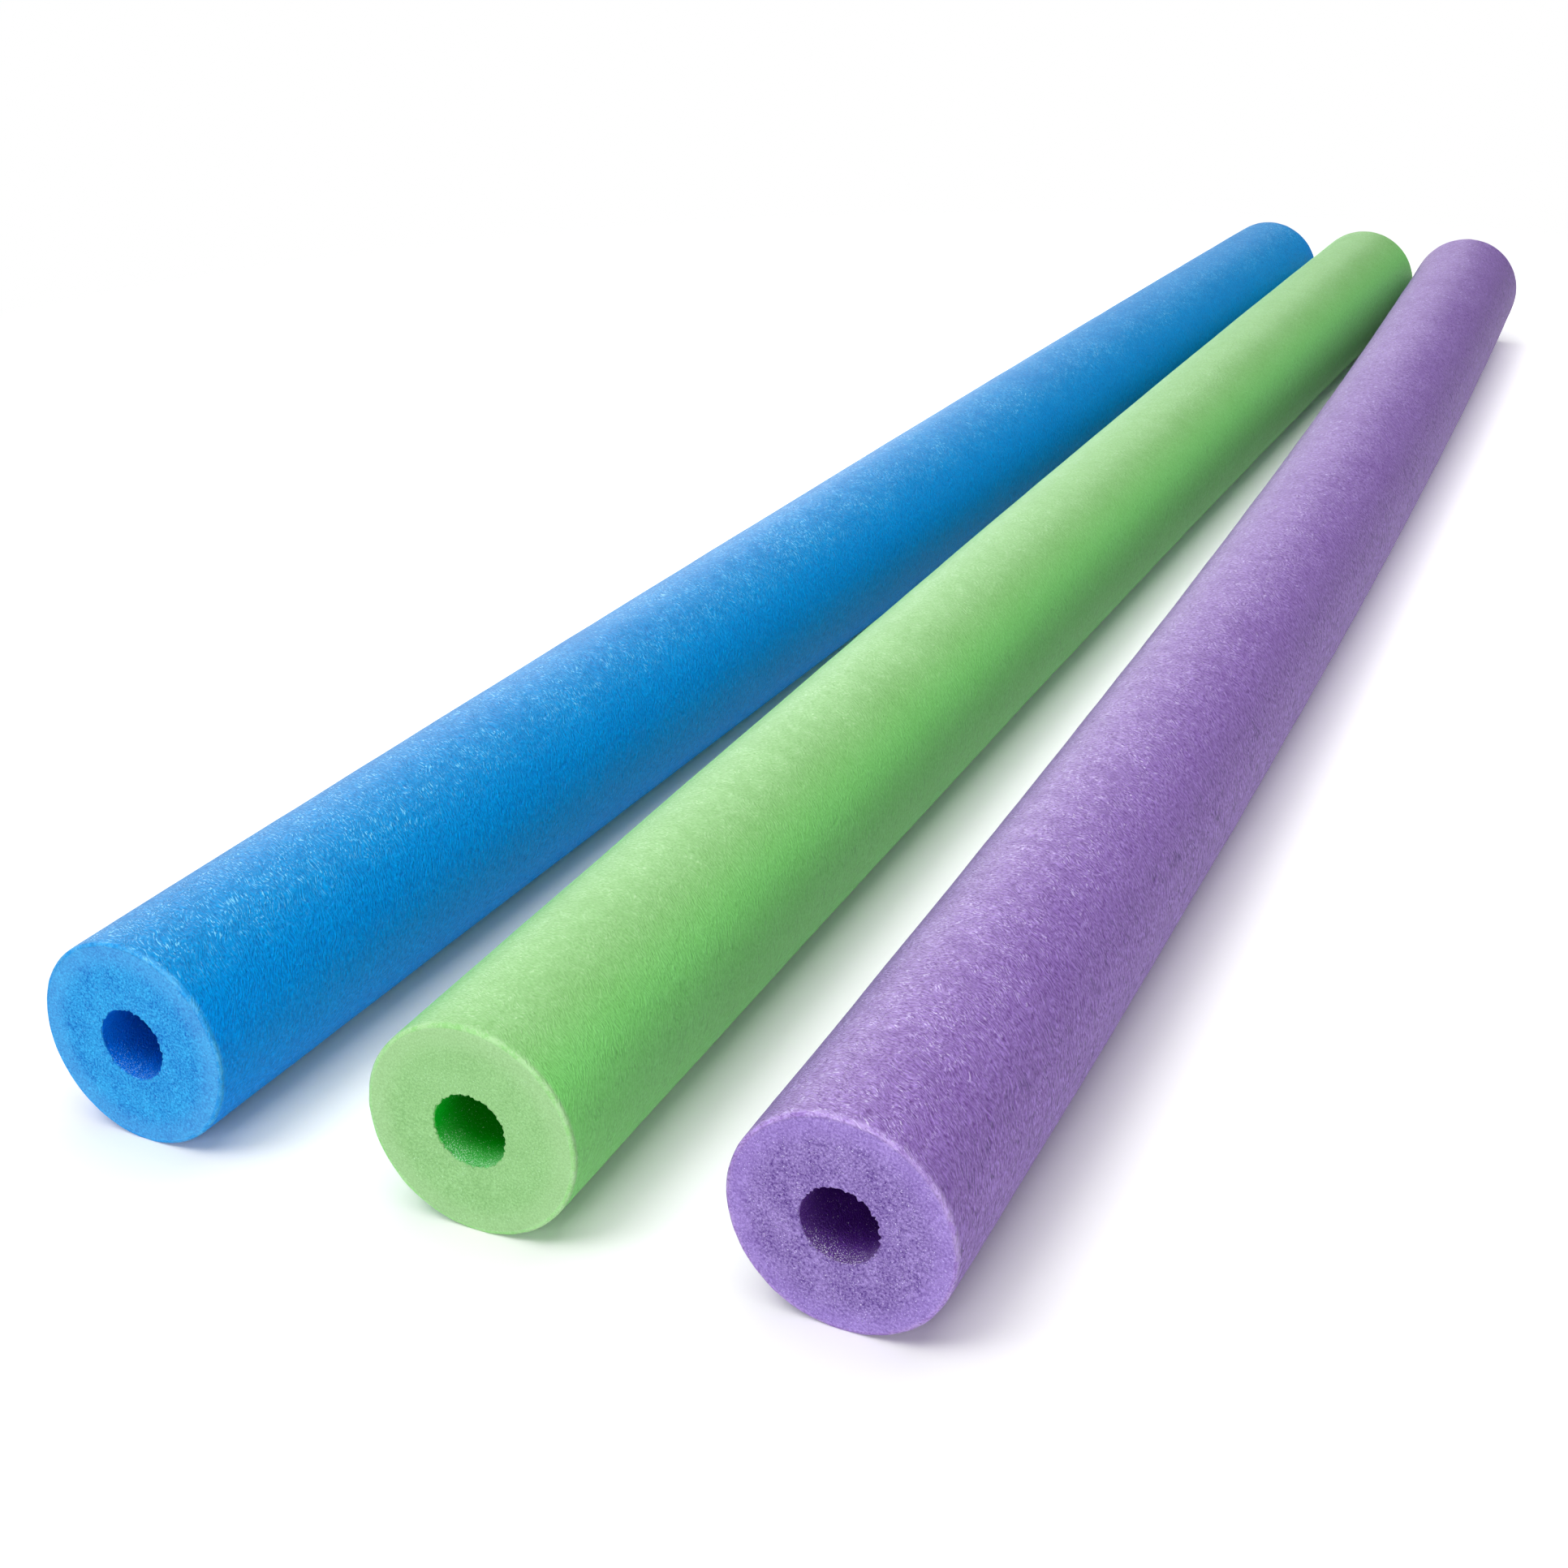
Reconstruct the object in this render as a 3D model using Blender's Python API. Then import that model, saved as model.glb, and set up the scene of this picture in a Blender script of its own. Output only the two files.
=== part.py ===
# Three foam pool noodles lying side by side, in metres, +Z up.
# Each noodle is one extruded tube of closed-cell foam with an open bore and knife-cut ends.
# The near ends face -Y, the green noodle lies along +Y, and all three touch at their far ends.
import math

import bmesh
import bpy
from mathutils import Matrix, Vector

# Extrusion, the same for all three
outer_diameter = 0.070
bore_diameter = 0.024
rest_flat_depth = 0.0005  # how far the foam flattens where it lies on the floor
rim_round = 0.0012  # rounding of the outer edge at both cuts

# All three are cut to one length, the blue one a little over it
cut_length = 1.196
blue_overlength = 0.010

# Places: the open gaps beside the green noodle at the near ends, and where its neighbours touch it
blue_near_gap = 0.0511
purple_near_gap = 0.0457
touch_gap = 0.0004

# Sideways bow of each centreline at its middle, + towards +X
blue_bow = -0.0040
green_bow = -0.0045
purple_bow = 0.0078

# Near cuts, in degrees off square: turned about the vertical, and leaned forward at the top
blue_cut_turn, blue_cut_lean = 1.5, 0.6
green_cut_turn, green_cut_lean = 1.25, 0.45
purple_cut_turn, purple_cut_lean = 3.1, 0.8

# Facets: counts, the rounding's profile (0.5 is a true arc), and the angle past which an edge is sharp
outline_segments = 41
length_segments = 12
rim_segments = 3
rim_profile = 0.5
sharp_angle = 35

foam_roughness = 0.8
blue_foam = (0.012, 0.223, 0.578, 1.0)
green_foam = (0.246, 0.539, 0.188, 1.0)
purple_foam = (0.279, 0.188, 0.468, 1.0)

outer_radius = outer_diameter / 2
bore_radius = bore_diameter / 2
axis_height = outer_radius - rest_flat_depth
blue_length = cut_length + blue_overlength


def clear_scene():
    """Remove the scene's objects."""
    for old in list(bpy.data.objects):
        bpy.data.objects.remove(old)


def foam_material(name, colour):
    """Matt foam in one colour."""
    material = bpy.data.materials.new(name)
    material.use_nodes = True
    shader = material.node_tree.nodes["Principled BSDF"]
    shader.inputs["Base Color"].default_value = colour
    shader.inputs["Roughness"].default_value = foam_roughness
    shader.inputs["Metallic"].default_value = 0.0
    return material


def outline_points():
    """Outer outline of the section: an arc closed by the flat that the noodle rests on."""
    flat_angle = math.acos(axis_height / outer_radius)
    first = -math.pi / 2 + flat_angle
    sweep = 2 * (math.pi - flat_angle)
    steps = outline_segments - 1
    angles = [first + sweep * step / steps for step in range(outline_segments)]
    return [Vector((outer_radius * math.cos(a), 0, outer_radius * math.sin(a))) for a in angles]


def bore_points():
    """Round outline of the bore, a point for each point of the outer outline."""
    turn = 2 * math.pi / outline_segments
    angles = [-math.pi / 2 + turn * (step + 0.5) for step in range(outline_segments)]
    return [Vector((bore_radius * math.cos(a), 0, bore_radius * math.sin(a))) for a in angles]


def add_loop(bm, points):
    """A closed loop of edges through the points."""
    verts = [bm.verts.new(p) for p in points]
    return [bm.edges.new((a, b)) for a, b in zip(verts, verts[1:] + verts[:1])]


def bowed_offset(length, bow, from_near):
    """Sideways distance of a bowed axis from its chord, at a distance from the near end."""
    share = 2 * from_near / length - 1
    return bow * (1 - share * share)


def station(length, bow, from_near):
    """Section's frame on the bowed axis. The chord runs along +Y, with its middle at the origin."""
    along = from_near - length / 2
    heading = math.atan2(-8 * bow * along, length * length)
    place = Vector((bowed_offset(length, bow, from_near), along, 0))
    return Matrix.Translation(place) @ Matrix.Rotation(-heading, 4, "Z")


def annular_section(bm):
    """Flat ring of foam between the outer outline and the bore's."""
    edges = add_loop(bm, outline_points()) + add_loop(bm, bore_points())
    return bmesh.ops.bridge_loops(bm, edges=edges)["faces"]


def sweep_section(bm, faces, frames):
    """Extrude the section from frame to frame, and return its last place."""
    bmesh.ops.transform(bm, matrix=frames[0], verts=bm.verts[:])
    is_first = True
    for here, there in zip(frames, frames[1:]):
        region = faces + list({e for f in faces for e in f.edges})
        grown = bmesh.ops.extrude_face_region(bm, geom=region, use_keep_orig=is_first)["geom"]
        verts = [g for g in grown if isinstance(g, bmesh.types.BMVert)]
        faces = [g for g in grown if isinstance(g, bmesh.types.BMFace)]
        bmesh.ops.transform(bm, matrix=there @ here.inverted(), verts=verts)
        is_first = False
    return faces


def outer_edges(faces):
    """Edges round the outside of an end face, which only one of its facets has."""
    middle_of_wall = (outer_radius + bore_radius) / 2
    own = set(faces)
    centre = sum((f.calc_center_median() for f in faces), Vector()) / len(faces)
    rim = {e for f in faces for e in f.edges if sum(g in own for g in e.link_faces) == 1}
    return [e for e in rim if (e.verts[0].co - centre).length > middle_of_wall]


def make_noodle(name, length, bow, cut_turn, cut_lean, material):
    """One noodle, its origin on the chord of its axis, half way along."""
    places = [length * step / length_segments for step in range(length_segments + 1)]
    frames = [station(length, bow, from_near) for from_near in places]
    turn = Matrix.Rotation(-math.radians(cut_turn), 4, "Z")
    lean = Matrix.Rotation(math.radians(cut_lean), 4, "X")
    frames[0] = frames[0] @ turn @ lean

    bm = bmesh.new()
    near_face = annular_section(bm)
    far_face = sweep_section(bm, near_face, frames)
    rims = outer_edges(near_face) + outer_edges(far_face)
    bmesh.ops.bevel(bm, geom=rims, offset=rim_round, segments=rim_segments,
                    profile=rim_profile, affect="EDGES")
    bmesh.ops.recalc_face_normals(bm, faces=bm.faces[:])

    mesh = bpy.data.meshes.new(name)
    bm.to_mesh(mesh)
    bm.free()
    mesh.shade_smooth()
    mesh.set_sharp_from_angle(angle=math.radians(sharp_angle))
    mesh.materials.append(material)
    noodle = bpy.data.objects.new(name, mesh)
    bpy.context.collection.objects.link(noodle)
    return noodle


def lay_down(noodle, length, near_offset, heading):
    """Lay a noodle on the floor, its near end level with y = 0, turned by a heading from +Y to +X."""
    chord = Vector((math.sin(heading), math.cos(heading), 0)) * length
    noodle.location = Vector((near_offset, 0, axis_height)) + chord / 2
    noodle.rotation_euler = (0, 0, -heading)


def heading_to_touch(length, bow, near_offset, side):
    """Heading that brings a noodle against the green one's side where the shorter of the two ends."""
    contact = min(length, cut_length)
    touching = side * (outer_diameter + touch_gap) + bowed_offset(cut_length, green_bow, contact)
    return math.atan2(touching - bowed_offset(length, bow, contact) - near_offset, contact)


def centre_on_origin(holder, noodles):
    """Move the holder so that the set's box stands centred on the origin, its base at z = 0."""
    bpy.context.view_layer.update()
    corners = [noodle.matrix_world @ v.co for noodle in noodles for v in noodle.data.vertices]
    low = Vector([min(c[i] for c in corners) for i in range(3)])
    high = Vector([max(c[i] for c in corners) for i in range(3)])
    holder.location = (-(low.x + high.x) / 2, -(low.y + high.y) / 2, -low.z)


def main():
    clear_scene()
    blue = make_noodle("blue_noodle", blue_length, blue_bow, blue_cut_turn, blue_cut_lean,
                       foam_material("blue_foam", blue_foam))
    green = make_noodle("green_noodle", cut_length, green_bow, green_cut_turn, green_cut_lean,
                        foam_material("green_foam", green_foam))
    purple = make_noodle("purple_noodle", cut_length, purple_bow, purple_cut_turn, purple_cut_lean,
                         foam_material("purple_foam", purple_foam))

    blue_offset = -(outer_diameter + blue_near_gap)
    purple_offset = outer_diameter + purple_near_gap
    lay_down(blue, blue_length, blue_offset, heading_to_touch(blue_length, blue_bow, blue_offset, -1))
    lay_down(green, cut_length, 0, 0)
    lay_down(purple, cut_length, purple_offset, heading_to_touch(cut_length, purple_bow, purple_offset, 1))

    holder = bpy.data.objects.new("noodle_set", None)
    bpy.context.collection.objects.link(holder)
    noodles = [blue, green, purple]
    for noodle in noodles:
        noodle.parent = holder
    centre_on_origin(holder, noodles)


main()
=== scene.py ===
import math

import bpy
import numpy as np
from mathutils import Matrix


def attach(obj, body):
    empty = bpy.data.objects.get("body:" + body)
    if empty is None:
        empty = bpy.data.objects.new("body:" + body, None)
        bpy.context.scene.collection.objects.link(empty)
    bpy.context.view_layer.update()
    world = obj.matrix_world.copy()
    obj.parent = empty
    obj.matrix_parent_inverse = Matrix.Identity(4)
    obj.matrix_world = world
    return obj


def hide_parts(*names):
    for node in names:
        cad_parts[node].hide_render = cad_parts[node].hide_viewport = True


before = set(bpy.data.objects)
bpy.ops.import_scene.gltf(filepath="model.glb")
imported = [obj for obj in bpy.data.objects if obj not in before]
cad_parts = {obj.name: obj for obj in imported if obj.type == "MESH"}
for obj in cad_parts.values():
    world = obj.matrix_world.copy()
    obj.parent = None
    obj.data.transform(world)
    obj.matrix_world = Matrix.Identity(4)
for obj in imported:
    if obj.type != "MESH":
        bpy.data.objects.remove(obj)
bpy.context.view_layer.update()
print("frame loaded:", ", ".join(sorted(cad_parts)))

# Metres, +Z up. The noodles lie along +Y on a floor at z = 0, their near cuts facing -Y.


class Wire:
    # A socket in a node tree. Sums and products of wires and numbers add Math nodes.
    def __init__(self, tree, socket=None):
        self.tree = tree
        self.socket = socket

    def node(self, kind, settings=None, values=None, output=0):
        # A node of one kind: its settings, then its sockets' values or links
        made = self.tree.nodes.new(kind)
        for key, value in (settings or {}).items():
            setattr(made, key, value)
        for key, value in (values or {}).items():
            if isinstance(value, Wire):
                self.tree.links.new(value.socket, made.inputs[key])
            else:
                made.inputs[key].default_value = value
        return Wire(self.tree, made.outputs[output])

    def maths(self, operation, *terms):
        return self.node("ShaderNodeMath", {"operation": operation}, dict(enumerate(terms)))

    def __add__(self, other):
        return self.maths("ADD", self, other)

    def __sub__(self, other):
        return self.maths("SUBTRACT", self, other)

    def __rsub__(self, other):
        return self.maths("SUBTRACT", other, self)

    def __mul__(self, other):
        return self.maths("MULTIPLY", self, other)

    __radd__ = __add__
    __rmul__ = __mul__

    def above(self, low, high):
        # 0 below low, 1 above high, eased between
        return self.node("ShaderNodeMapRange", {"interpolation_type": "SMOOTHSTEP"},
                         {"Value": self, "From Min": low, "From Max": high})

    def noise(self, place, scale, detail, settings=None):
        return self.node("ShaderNodeTexNoise", settings, {"Vector": place, "Scale": scale, "Detail": detail})

    def strands(self, wrap, length, width, detail):
        # Noise drawn out along the first direction of a map in metres
        place = self.node("ShaderNodeMapping", values={"Vector": wrap, "Scale": (1 / length, 1 / width, 1)})
        return self.noise(place, 1, detail, {"noise_dimensions": "2D"})

    def blend(self, factor, first, second):
        # Mix of two colours
        return self.node("ShaderNodeMix", {"data_type": "RGBA"}, {0: factor, 6: first, 7: second}, 2)


def clearMaterial(name):
    material = bpy.data.materials.new(name)
    material.use_nodes = True
    material.node_tree.nodes.clear()
    return material, Wire(material.node_tree)


def finishMaterial(material, surface):
    output = material.node_tree.nodes.new("ShaderNodeOutputMaterial")
    material.node_tree.links.new(surface.socket, output.inputs["Surface"])


# Foam tube, the same for all three
tube = {
    "outerRadius": 0.035,
    "boreRadius": 0.012,
    "axisHeight": 0.0345,  # the underside flattens a little where it rests
    "rimRound": 0.0012,
    "mouthRound": 0.0004,
    "skewReach": 0.1,  # length over which a skewed near cut fades into square sections
    "columns": 256,
    "faceRows": 40,
    "rimRows": 7,
    "skinRows": 212,
    "mouthRows": 3,
    "boreRows": 72,
    "skinCrowding": 0.75,  # how far the rows crowd towards the ends, 0 for even
    "boreCrowding": 0.97,
}

# Relief of the foam, the same for all three: depths, the sizes of its lumps, and how far the bands at the
# rim and the mouth reach
relief = {
    "skinDip": 0.00012,
    "dipSize": 0.024,
    "dimpleSize": 0.005,
    "cutWave": 0.0001,
    "waveSize": 0.011,
    "cutPitSize": 0.0011,
    "borePitSize": 0.0016,
    "rimNick": 0.00012,
    "nickSize": 0.0035,
    "nickReach": 0.0016,
    "mouthJag": 0.0008,
    "jagSize": 0.0007,
    "jagReach": 0.0007,
    # Where the painted rim highlight and the painted halo glow lie
    "paleBandFrom": 0.0007,
    "paleBandReach": 0.0009,
    "haloReach": 0.008,
}

latticeSide = 32


def latticeNoise(points, size, seed):
    # Noise from -1 to 1. Random numbers stand on a cubic lattice, size apart, and a point takes the mean
    # of its cube's eight corners, each weighted by 3t^2 - 2t^3 of the place between them.
    table = np.random.default_rng(seed).uniform(-1, 1, (latticeSide,) * 3)
    place = points / size
    corner = np.floor(place).astype(int)
    part = place - corner
    part = part * part * (3 - 2 * part)
    total = np.zeros(points.shape[:-1])
    for step in np.ndindex(2, 2, 2):
        weight = np.prod(np.where(step, part, 1 - part), axis=-1)
        index = (corner + step) % latticeSide
        total += weight * table[index[..., 0], index[..., 1], index[..., 2]]
    return total


def straightRun(start, end, facing, rows, crowding=0.0):
    # Rows on a line from start to end in (along, radius): share t - c sin(2 pi t) / 2 pi of the way,
    # so that they crowd towards both ends. facing is the outward direction. The last row is left out.
    t = np.arange(rows) / rows
    share = t - crowding * np.sin(2 * math.pi * t) / (2 * math.pi)
    points = np.outer(1 - share, start) + np.outer(share, end)
    return points, np.tile(facing, (rows, 1))


def roundedEdge(centre, radius, first, last, rows):
    # Rows on an arc in (along, radius): centre + radius (cos a, sin a), a from first to last in degrees.
    # The arc's own radius is the outward direction. The last row is left out.
    angles = np.radians(first + (last - first) * np.arange(rows) / rows)
    facing = np.stack([np.cos(angles), np.sin(angles)], axis=-1)
    return np.array(centre) + radius * facing, facing


def wallOutline(length):
    # The wall cut along its axis, as a closed line: out over the near cut, along the skin, in over the far
    # cut and back through the bore. Each row has its point, its outward direction and its region.
    outer, bore = tube["outerRadius"], tube["boreRadius"]
    rim, mouth = tube["rimRound"], tube["mouthRound"]
    runs = [
        ("cut", straightRun((0, bore + mouth), (0, outer - rim), (-1, 0), tube["faceRows"])),
        ("rim", roundedEdge((rim, outer - rim), rim, 180, 90, tube["rimRows"])),
        ("skin", straightRun((rim, outer), (length - rim, outer), (0, 1),
                             tube["skinRows"], tube["skinCrowding"])),
        ("rim", roundedEdge((length - rim, outer - rim), rim, 90, 0, tube["rimRows"])),
        ("cut", straightRun((length, outer - rim), (length, bore + mouth), (1, 0), tube["faceRows"])),
        ("mouth", roundedEdge((length - mouth, bore + mouth), mouth, 0, -90, tube["mouthRows"])),
        ("bore", straightRun((length - mouth, bore), (mouth, bore), (0, -1),
                             tube["boreRows"], tube["boreCrowding"])),
        ("mouth", roundedEdge((mouth, bore + mouth), mouth, -90, -180, tube["mouthRows"])),
    ]
    points = np.concatenate([run[0] for region, run in runs])
    facing = np.concatenate([run[1] for region, run in runs])
    region = np.concatenate([[name] * len(run[0]) for name, run in runs])
    return points, facing, region


def bowedAxis(noodle, along):
    # Axis at a distance from the near end: the chord plus bow (1 - s^2) sideways, s from -1 to 1.
    # Returns the place, the direction along it and the level direction across it.
    s = 2 * along / noodle["length"] - 1
    heading = math.radians(noodle["heading"])
    chord = np.array([math.sin(heading), math.cos(heading), 0])
    side = np.array([math.cos(heading), -math.sin(heading), 0])
    start = np.array([*noodle["nearEnd"], tube["axisHeight"]])
    place = start + np.multiply.outer(along, chord) + np.multiply.outer(noodle["bow"] * (1 - s * s), side)
    slope = -4 * noodle["bow"] * s / noodle["length"]
    ahead = chord + np.multiply.outer(slope, side)
    ahead /= np.linalg.norm(ahead, axis=-1, keepdims=True)
    across = np.stack([ahead[..., 1], -ahead[..., 0], 0 * slope], axis=-1)
    return place, ahead, across


def noodleMesh(noodle):
    # Each point is axis(a) + r (cos q across + sin q up), with (a, r) from the outline and q round the tube.
    # It then moves along its outward direction by the foam's dips, and nothing goes below the floor.
    outline, facing, region = wallOutline(noodle["length"])
    columns, rows = tube["columns"], len(outline)
    q = 2 * math.pi * np.arange(columns) / columns - math.pi / 2
    a, r = outline[:, :1], outline[:, 1:]
    isSkin, isCut, isMouth = (region == "skin") | (region == "rim"), region == "cut", region == "mouth"
    isBore = (region == "bore") | isMouth

    level, rise = r * np.cos(q), r * np.sin(q)
    cutTurn, cutLean = math.radians(noodle["cutTurn"]), math.radians(noodle["cutLean"])
    skew = -level * math.tan(cutTurn) - rise * math.tan(cutLean)
    skew = skew * np.clip(1 - a / tube["skewReach"], 0, 1)
    place, ahead, across = bowedAxis(noodle, outline[:, 0])
    up = np.array([0, 0, 1])
    radial = np.cos(q)[:, None] * across[:, None, :] + np.sin(q)[:, None] * up
    points = place[:, None] + r[..., None] * radial + skew[..., None] * ahead[:, None]
    outward = facing[:, None, :1] * ahead[:, None] + facing[:, None, 1:] * radial

    # Each layer of dips is weight * depth * (1 + noise). The mouth's jag goes in and out across the bore.
    seed = noodle["seed"]
    fromEnd = np.minimum(outline[:, 0], noodle["length"] - outline[:, 0])
    fromRim = np.hypot(fromEnd, outline[:, 1] - tube["outerRadius"])[:, None]
    fromMouth = np.hypot(fromEnd, outline[:, 1] - tube["boreRadius"])[:, None]
    onSkin, onCut, onBore = isSkin[:, None], isCut[:, None], isBore[:, None]
    nearRim = np.exp(-(fromRim / relief["nickReach"]) ** 2)
    nearMouth = np.exp(-(fromMouth / relief["jagReach"]) ** 2)
    layers = [
        (onSkin, relief["skinDip"], relief["dipSize"]),
        (onSkin, noodle["skinDimple"], relief["dimpleSize"]),
        (onCut, relief["cutWave"], relief["waveSize"]),
        (onCut, noodle["cellPit"], relief["cutPitSize"]),
        (onBore, noodle["cellPit"], relief["borePitSize"]),
        (nearRim, relief["rimNick"], relief["nickSize"]),
    ]
    dips = sum(weight * (depth * (1 + latticeNoise(points, size, seed + step)))
               for step, (weight, depth, size) in enumerate(layers))
    jag = relief["mouthJag"] * latticeNoise(points, relief["jagSize"], seed + len(layers)) * nearMouth
    points = points - dips[..., None] * outward + jag[..., None] * radial
    points[..., 2] = np.maximum(points[..., 2], 0)

    row, column = np.meshgrid(np.arange(rows), np.arange(columns), indexing="ij")
    below, beside = (row + 1) % rows, (column + 1) % columns
    corners = [(row, column), (below, column), (below, beside), (row, beside)]
    faces = np.stack([down * columns + over for down, over in corners], axis=-1).reshape(-1, 4)
    mesh = bpy.data.meshes.new(noodle["name"])
    mesh.from_pydata(points.reshape(-1, 3).tolist(), [], faces.tolist())

    # The wrap map is in metres: u goes round the skin, and v along the outline less u tan(lean), which
    # leans the fibres drawn along u
    steps = np.linalg.norm(np.diff(outline, axis=0, append=outline[:1]), axis=1)
    travelled = np.concatenate([[0], np.cumsum(steps)])
    around = tube["outerRadius"] * 2 * math.pi / columns
    u = np.stack([column, column, column + 1, column + 1], axis=-1) * around
    v = np.stack([travelled[row], travelled[row + 1], travelled[row + 1], travelled[row]], axis=-1)
    v = v - u * math.tan(math.radians(noodle["fibreLean"]))
    wrap = mesh.uv_layers.new(name="wrap")
    wrap.data.foreach_set("uv", np.stack([u, v], axis=-1).astype(np.float32).ravel())

    # Masks read by the finish: rim carries the painted rim highlight, halo the painted glow on the cuts, low
    # the painted shading, glints, creases and the lit bottom of the mouth
    masks = {
        "cut": (isCut | isMouth)[:, None],
        "bore": onBore,
        "rim": np.exp(-((fromRim - relief["paleBandFrom"]) / relief["paleBandReach"]) ** 2),
        "halo": np.exp(-(fromRim / relief["haloReach"]) ** 4),
        "depth": np.where(isBore, fromEnd, 0)[:, None],
        "low": 0.5 - 0.5 * np.sin(q)[None],
    }
    for key, mask in masks.items():
        spread = np.broadcast_to(mask, (rows, columns)).astype(np.float32).ravel()
        mesh.attributes.new(key, "FLOAT", "POINT").data.foreach_set("value", spread)
    mesh.polygons.foreach_set("use_smooth", np.ones(len(faces), bool))
    mesh.update()
    return mesh


# Finish of the foam, the same for all three: sizes in metres, then the levels between which each mark sets in
finish = {
    "swayScale": 90.0,
    "swayReach": 0.006,
    "fibreSize": (0.0020, 0.0007),
    "wrinkleSize": (0.0060, 0.0016),
    "glintWidth": 0.00045,
    "fleckSize": 0.0009,
    "mottleSize": 0.005,
    "cloudSize": 0.03,
    "patchSize": 0.009,
    "specksPerCell": 1.9,
    "rimUntinted": (0.25, 0.7),
    "clusterSpan": (0.55, 0.95),
    "glintSpan": (0.72, 0.85),
    "glintLow": (0.02, 0.2),
    "creaseWidth": 0.09,
    "creaseLow": (0.08, 0.3),
    "speckSpan": (0.64, 0.80),
    "haloShare": 0.35,
    "boreDarkens": 0.02,
    "litLow": (0.5, 1.0),
    "litDepth": 0.014,
    "spotSpan": (0.83, 0.93),
    "mouthDepth": 0.0012,
    "rimLeast": 0.4,
    "rimSpan": (0.85, 1.15),
    "cutRoughness": 0.75,
}


def foamMaterial(noodle):
    # Three finishes on one piece: the drawn skin with its fibres running round the tube, the open cells of
    # the knife cuts, and the dark wall of the bore
    material, wire = clearMaterial(noodle["slot"])
    body = wire.node("ShaderNodeTexCoord", output="Object")
    wrap = wire.node("ShaderNodeUVMap", {"uv_map": "wrap"})
    cut, bore, rim, halo, depth, low = (
        wire.node("ShaderNodeAttribute", {"attribute_name": key}, output="Fac")
        for key in ("cut", "bore", "rim", "halo", "depth", "low"))

    # Fibres sway: the wrap map is pushed about before it is stretched along them
    sway = wire.node("ShaderNodeTexNoise", {"noise_dimensions": "2D"},
                     {"Vector": wrap, "Scale": finish["swayScale"], "Detail": 1.0}, "Color")
    reach = (finish["swayReach"], finish["swayReach"], 0)
    swayed = wire.node("ShaderNodeVectorMath", {"operation": "MULTIPLY_ADD"}, {0: sway, 1: reach, 2: wrap})
    fibre = wire.strands(swayed, *finish["fibreSize"], 2)
    streak = wire.strands(swayed, noodle["glintLength"], finish["glintWidth"], 1)
    wrinkle = wire.strands(swayed, *finish["wrinkleSize"], 1)
    fleck = wire.noise(body, 1 / finish["fleckSize"], 2)
    mottle = wire.noise(body, 1 / finish["mottleSize"], 2)
    cloud = wire.noise(body, 1 / finish["cloudSize"], 2)
    grain = wire.noise(body, 1 / noodle["cellSize"], 3)
    speck = wire.noise(body, finish["specksPerCell"] / noodle["cellSize"], 1)
    patch = wire.noise(body, 1 / finish["patchSize"], 1)
    cluster = (mottle + 0.5 * cloud).above(*finish["clusterSpan"])

    # Skin: fibres in two tones, painted shade on the top and painted glow underneath, painted glints on top,
    # and wrinkles on the flanks with painted shade in their creases
    skinTone = (0.5 + noodle["fibreTone"] * (fibre - 0.5) + noodle["fleckTone"] * (fleck - 0.5)
                + noodle["mottleTone"] * (mottle + cloud - 1))
    skin = wire.blend(skinTone, noodle["skinDeep"], noodle["skinPale"])
    # Painted shading: the top is darkened as painted shade and the underside lightened as painted glow,
    # except on the rim
    paintedShading = wire.blend(low.above(*noodle["paintedShadingSpan"]), noodle["topPaintedShade"], noodle["underPaintedGlow"])
    skin = wire.node("ShaderNodeMix", {"data_type": "RGBA", "blend_type": "MULTIPLY"},
                     {0: 1 - rim.above(*finish["rimUntinted"]), 6: skin, 7: paintedShading}, 2)
    # Painted glints: pale highlight streaks blended into the colour, on the upper side only
    paintedGlint = (streak + 0.25 * fleck).above(*finish["glintSpan"])
    paintedGlint = paintedGlint * cluster * (1 - low.above(*finish["glintLow"]))
    skin = wire.blend(paintedGlint * noodle["paintedGlint"], skin, noodle["paintedGlintPale"])
    # Painted shade: crease lines on the flanks are darkened as shade in the wrinkles, and they also dent the
    # bump
    creaseAndShade = 1 - wire.maths("ABSOLUTE", wrinkle - 0.5).above(0.0, finish["creaseWidth"])
    creaseAndShade = creaseAndShade * cluster * low.above(*finish["creaseLow"]) * noodle["creaseAndShade"]
    skin = wire.blend(creaseAndShade, skin, noodle["paintedCreaseShade"])

    # Cut: open cells, specks and a paler band towards the rim, painted glow of light coming through the foam
    cutTone = 0.5 + noodle["grainTone"] * (grain - 0.5) + noodle["patchTone"] * (patch - 0.5)
    face = wire.blend(cutTone, noodle["cutDeep"], noodle["cutPale"])
    face = wire.blend(speck.above(*finish["speckSpan"]) * noodle["speck"], face, noodle["paleSpeckAndLight"])
    # Painted glow: the cut face pales towards the rim
    face = wire.blend(halo * finish["haloShare"], face, noodle["paintedHaloGlow"])

    # Bore: painted glow paler near its mouth, fading further in to its own deeper colour, with a painted pool
    # of light and painted sparkles at the bottom of its mouth
    inner = wire.blend(depth.above(0.0, finish["boreDarkens"]), noodle["boreMouthGlow"], noodle["boreDeep"])
    # Painted light: a pale pool where light falls on the bottom of the mouth, and painted sparkles there; the
    # same pale colour also gives the cut face its specks
    lit = low.above(*finish["litLow"]) * (1 - depth.above(0.0, finish["litDepth"]))
    spot = (speck + 0.3 * grain + 0.16 * lit).above(*finish["spotSpan"])
    inner = wire.blend(lit * noodle["mouthLightPool"], inner, noodle["paleSpeckAndLight"])
    inner = wire.blend(spot * noodle["paintedSparkle"], inner, noodle["paleSpeckAndLight"])
    inner = wire.blend(depth.above(0.0, finish["mouthDepth"]), face, inner)

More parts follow.
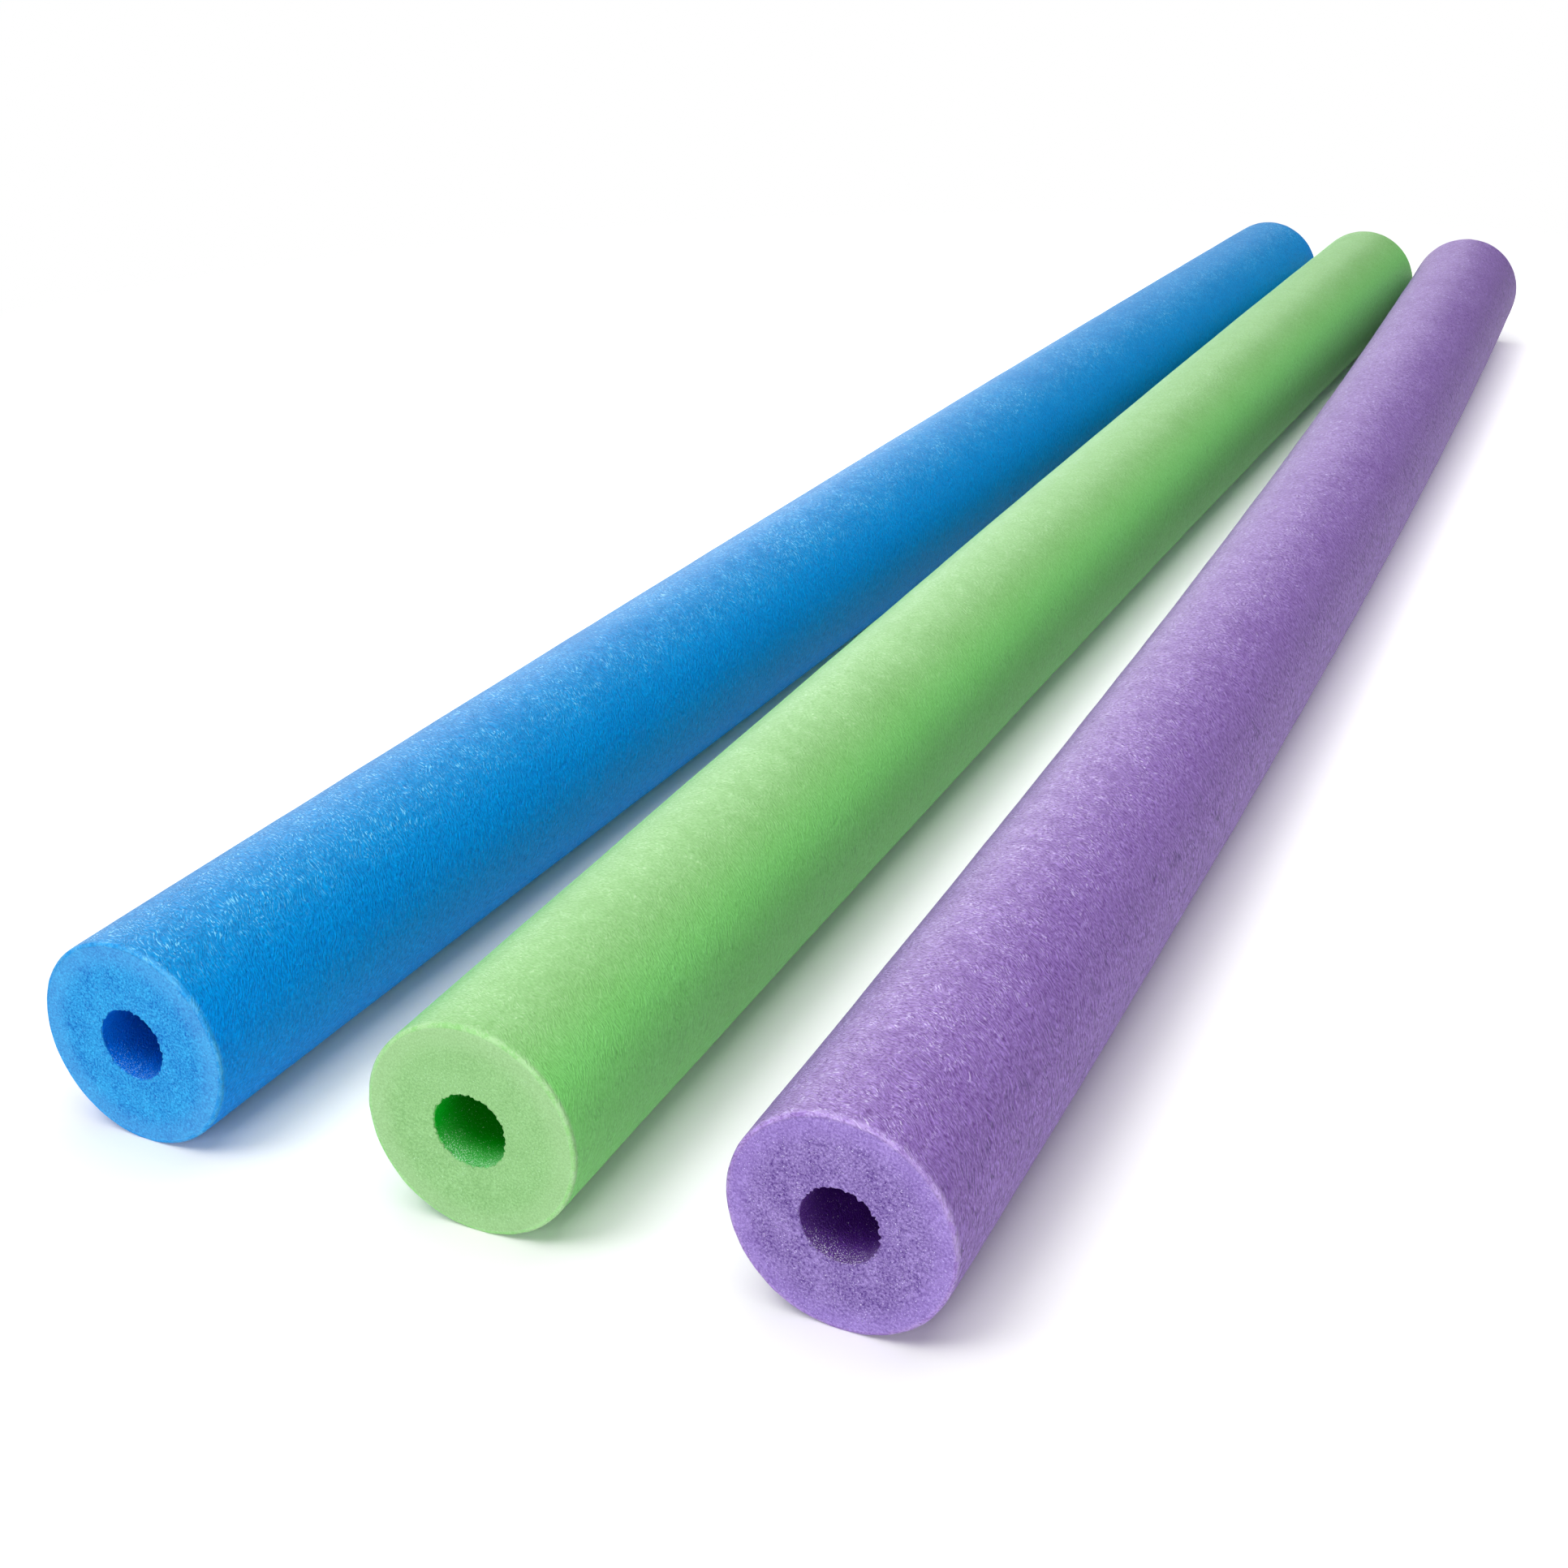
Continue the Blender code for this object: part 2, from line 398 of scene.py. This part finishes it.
    # Painted rim highlight: a broken pale line where the rounded rim catches light
    rimHighlight = rim * noodle["rimHighlightShare"] * (finish["rimLeast"] + (mottle + grain).above(*finish["rimSpan"]))
    colour = wire.blend(rimHighlight, wire.blend(cut, skin, face), noodle["paintedRimHighlight"])
    colour = wire.blend(bore, colour, inner)

    skinHeight = (fibre + 0.4 * streak + 0.6 * fleck - 0.4 * creaseAndShade) * noodle["fibreHeight"]
    height = skinHeight * (1 - cut) + grain * noodle["cellHeight"] * cut
    bump = wire.node("ShaderNodeBump", values={"Distance": 1.0, "Height": height})
    skinRoughness = noodle["skinRoughness"] - 0.25 * (fibre - 0.5) - 0.15 * paintedGlint
    roughness = skinRoughness * (1 - cut) + finish["cutRoughness"] * cut
    surface = wire.node("ShaderNodeBsdfPrincipled", values={
        "Base Color": colour,
        "Roughness": roughness,
        "Specular IOR Level": noodle["specular"],
        "Normal": bump,
    })
    finishMaterial(material, surface)
    return material


# The three noodles: place and cut, then the foam's relief in metres, then the finish, which also holds
# painted light: shade and glow, glints, crease shade, halo, rim highlight and the bore's light
blueNoodle = {
    "name": "blueFoam", "node": "blue_noodle", "body": "blue", "slot": "blue_foam", "seed": 11,
    "nearEnd": (-0.118423, -0.602445), "heading": 2.43368, "length": 1.206, "bow": -0.0040,
    "cutTurn": 1.5, "cutLean": 0.6,
    "skinDimple": 0.00003, "cellPit": 0.00008,
    "skinDeep": (0.0, 0.165, 0.54, 1), "skinPale": (0.0, 0.36, 0.87, 1),
    "cutDeep": (0.0, 0.08, 0.43, 1), "cutPale": (0.05, 0.47, 0.84, 1),
    "boreDeep": (0.0, 0.09, 0.55, 1), "boreMouthGlow": (0.0, 0.19, 0.85, 1),
    "paintedHaloGlow": (0.12, 0.38, 0.74, 1), "paintedRimHighlight": (0.16, 0.52, 0.82, 1), "rimHighlightShare": 0.35,
    "paintedGlintPale": (0.25, 0.72, 1.0, 1), "paintedGlint": 0.9, "glintLength": 0.0021, "fibreLean": 24,
    "paintedCreaseShade": (0.0, 0.1, 0.4, 1), "creaseAndShade": 0.25,
    "paleSpeckAndLight": (0.3, 0.65, 1.0, 1), "paintedSparkle": 0.6, "mouthLightPool": 0.0, "speck": 0.5,
    "fibreTone": 1.2, "fleckTone": 1.2, "mottleTone": 0.25,
    "grainTone": 1.8, "patchTone": 0.5, "cellSize": 0.0007,
    "fibreHeight": 0.0004, "cellHeight": 0.0003, "skinRoughness": 0.42, "specular": 0.05,
    "topPaintedShade": (1.0, 0.96, 0.91, 1), "underPaintedGlow": (1.0, 1.06, 1.26, 1), "paintedShadingSpan": (0.01, 0.38),
}
greenNoodle = {
    "name": "greenFoam", "node": "green_noodle", "body": "green", "slot": "green_foam", "seed": 31,
    "nearEnd": (0.002677, -0.602445), "heading": 0.0, "length": 1.196, "bow": -0.0045,
    "cutTurn": 1.25, "cutLean": 0.45,
    "skinDimple": 0.00003, "cellPit": 0.00006,
    "skinDeep": (0.17, 0.465, 0.11, 1), "skinPale": (0.3, 0.68, 0.235, 1),
    "cutDeep": (0.18, 0.39, 0.135, 1), "cutPale": (0.325, 0.6, 0.265, 1),
    "boreDeep": (0.0, 0.26, 0.0, 1), "boreMouthGlow": (0.0, 0.56, 0.02, 1),
    "paintedHaloGlow": (0.39, 0.6, 0.32, 1), "paintedRimHighlight": (0.52, 0.7, 0.45, 1), "rimHighlightShare": 0.35,
    "paintedGlintPale": (0.6, 0.85, 0.5, 1), "paintedGlint": 0.3, "glintLength": 0.0016, "fibreLean": 20,
    "paintedCreaseShade": (0.07, 0.3, 0.05, 1), "creaseAndShade": 0.3,
    "paleSpeckAndLight": (0.7, 1.0, 0.75, 1), "paintedSparkle": 0.9, "mouthLightPool": 0.14, "speck": 0.5,
    "fibreTone": 0.6, "fleckTone": 1.0, "mottleTone": 0.3,
    "grainTone": 1.9, "patchTone": 0.4, "cellSize": 0.0006,
    "fibreHeight": 0.00022, "cellHeight": 0.00022, "skinRoughness": 0.46, "specular": 0.17,
    "topPaintedShade": (1.0, 0.91, 1.0, 1), "underPaintedGlow": (0.94, 1.24, 1.0, 1), "paintedShadingSpan": (0.0, 0.25),
}
purpleNoodle = {
    "name": "purpleFoam", "node": "purple_noodle", "body": "purple", "slot": "purple_foam", "seed": 51,
    "nearEnd": (0.118377, -0.602445), "heading": -2.16911, "length": 1.196, "bow": 0.0078,
    "cutTurn": 3.1, "cutLean": 0.8,
    "skinDimple": 0.00004, "cellPit": 0.0001,
    "skinDeep": (0.15, 0.057, 0.305, 1), "skinPale": (0.38, 0.235, 0.69, 1),
    "cutDeep": (0.04, 0.0, 0.16, 1), "cutPale": (0.39, 0.285, 0.65, 1),
    "boreDeep": (0.07, 0.01, 0.22, 1), "boreMouthGlow": (0.15, 0.045, 0.36, 1),
    "paintedHaloGlow": (0.4, 0.27, 0.73, 1), "paintedRimHighlight": (0.62, 0.48, 0.86, 1), "rimHighlightShare": 0.4,
    "paintedGlintPale": (0.7, 0.6, 0.92, 1), "paintedGlint": 0.9, "glintLength": 0.0016, "fibreLean": 20,
    "paintedCreaseShade": (0.06, 0.02, 0.16, 1), "creaseAndShade": 0.8,
    "paleSpeckAndLight": (0.85, 0.8, 1.0, 1), "paintedSparkle": 0.9, "mouthLightPool": 0.03, "speck": 0.9,
    "fibreTone": 1.7, "fleckTone": 1.3, "mottleTone": 0.3,
    "grainTone": 1.8, "patchTone": 0.5, "cellSize": 0.0007,
    "fibreHeight": 0.00045, "cellHeight": 0.00035, "skinRoughness": 0.42, "specular": 0.24,
    "topPaintedShade": (0.96, 0.96, 0.93, 1), "underPaintedGlow": (1.16, 1.14, 1.14, 1), "paintedShadingSpan": (0.16, 0.45),
}

for noodle in (blueNoodle, greenNoodle, purpleNoodle):
    piece = bpy.data.objects.new(noodle["name"], noodleMesh(noodle))
    bpy.context.scene.collection.objects.link(piece)
    piece.data.materials.append(foamMaterial(noodle))
    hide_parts(noodle["node"])
    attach(piece, noodle["body"])
    print("made", noodle["name"], "with", len(piece.data.polygons), "faces")

# Pale floor, lit near the noodles and plain white to the eye further off
floorLook = {
    "halfWidth": 40.0,
    "colour": (0.9, 0.9, 0.9, 1),
    "nearShown": (1.0, 1.0, 1.0, 1),
    "farShown": (1.45, 1.45, 1.45, 1),
    "shownFrom": -0.65,  # along Y
    "shownTo": 0.2,
    "plainFrom": 0.66,  # from the origin
    "plainTo": 1.0,
}


def makeFloor(look):
    half = look["halfWidth"]
    mesh = bpy.data.meshes.new("floor")
    corners = [(-half, -half, 0), (half, -half, 0), (half, half, 0), (-half, half, 0)]
    mesh.from_pydata(corners, [], [(0, 1, 2, 3)])
    material, wire = clearMaterial("floor")
    seen = wire.node("ShaderNodeLightPath", output="Is Camera Ray")
    place = wire.node("ShaderNodeTexCoord", output="Object")
    distance = wire.node("ShaderNodeVectorMath", {"operation": "LENGTH"}, {0: place}, "Value")
    along = wire.node("ShaderNodeSeparateXYZ", values={0: place}, output="Y")
    shown = wire.blend(along.above(look["shownFrom"], look["shownTo"]), look["nearShown"], look["farShown"])
    matt = wire.node("ShaderNodeBsdfDiffuse", values={"Color": wire.blend(seen, look["colour"], shown)})
    white = wire.node("ShaderNodeEmission", values={"Color": (1, 1, 1, 1), "Strength": 1.0})
    plain = seen * distance.above(look["plainFrom"], look["plainTo"])
    finishMaterial(material, wire.node("ShaderNodeMixShader", values={0: plain, 1: matt, 2: white}))
    mesh.materials.append(material)
    floor = bpy.data.objects.new("floor", mesh)
    bpy.context.scene.collection.objects.link(floor)


makeFloor(floorLook)

# A white surround for the eye, and dimmer light from it. Soft lamps stand overhead and in front. A low one
# behind lights the far cuts without gloss, and the panels behind on the left only show in the gloss.
ambientLevel = 0.15
lamps = {
    "top": {"place": (-0.2, -0.3, 2.6), "target": (-0.2, -0.29, 0), "size": (3.2, 3.2),
            "power": 61, "sheds": "both"},
    "key": {"place": (-0.8, -2.4, 3.1), "target": (0, 0, 0), "size": (1.6, 1.6),
            "power": 44, "sheds": "both"},
    "front": {"place": (0.6, -3.2, 1.0), "target": (0, 0, 0.1), "size": (2.4, 1.6),
              "power": 45, "sheds": "both"},
    "rear": {"place": (-0.3, 3.2, 0.5), "target": (0, 0.6, 0.05), "size": (2.4, 0.8),
             "power": 22, "sheds": "diffuse"},
    "leftPanel": {"place": (-2.6, 2.2, 1.1), "target": (0, 0, 0.1), "size": (3.2, 2.2),
                  "power": 92, "sheds": "gloss"},
    "backPanel": {"place": (-0.9, 2.9, 2.0), "target": (0, 0, 0.1), "size": (1.8, 1.4),
                  "power": 48, "sheds": "gloss"},
}


def makeWorld():
    world = bpy.data.worlds.new("studio")
    bpy.context.scene.world = world
    world.use_nodes = True
    world.node_tree.nodes.clear()
    wire = Wire(world.node_tree)
    seen = wire.node("ShaderNodeLightPath", output="Is Camera Ray")
    level = ambientLevel + (1 - ambientLevel) * seen
    sky = wire.node("ShaderNodeBackground", values={"Color": (1, 1, 1, 1), "Strength": level})
    output = world.node_tree.nodes.new("ShaderNodeOutputWorld")
    world.node_tree.links.new(sky.socket, output.inputs["Surface"])


def makeLamp(name, look):
    lamp = bpy.data.lights.new(name, "AREA")
    lamp.shape = "RECTANGLE"
    lamp.size, lamp.size_y = look["size"]
    lamp.energy = look["power"]
    holder = bpy.data.objects.new(name, lamp)
    bpy.context.scene.collection.objects.link(holder)
    aim = np.array(look["target"]) - np.array(look["place"])
    bearing = math.atan2(aim[0], aim[1])
    drop = math.atan2(-aim[2], math.hypot(aim[0], aim[1]))
    turn = Matrix.Rotation(-bearing, 4, "Z") @ Matrix.Rotation(math.pi / 2 - drop, 4, "X")
    holder.matrix_world = Matrix.Translation(look["place"]) @ turn
    holder.visible_camera = False
    holder.visible_diffuse = look["sheds"] != "gloss"
    holder.visible_glossy = look["sheds"] != "diffuse"


makeWorld()
for name, look in lamps.items():
    makeLamp(name, look)
print("floor and lamps made")

# The photograph's camera: bearing from +Y towards +X, drop below the horizon, roll, all in degrees
view = {
    "place": (0.32769, -1.07957, 0.40226),
    "bearing": -25.1059,
    "drop": 24.4810,
    "roll": -0.8563,
    "lens": 53.699,
    "nearest": 0.01,
}
camera = bpy.data.cameras.new("camera")
camera.lens = view["lens"]
camera.clip_start = view["nearest"]
holder = bpy.data.objects.new("camera", camera)
bpy.context.scene.collection.objects.link(holder)
holder.matrix_world = (Matrix.Translation(view["place"])
                       @ Matrix.Rotation(math.radians(-view["bearing"]), 4, "Z")
                       @ Matrix.Rotation(math.radians(90 - view["drop"]), 4, "X")
                       @ Matrix.Rotation(math.radians(view["roll"]), 4, "Z"))
bpy.context.scene.camera = holder
bpy.context.scene.view_settings.view_transform = "Standard"
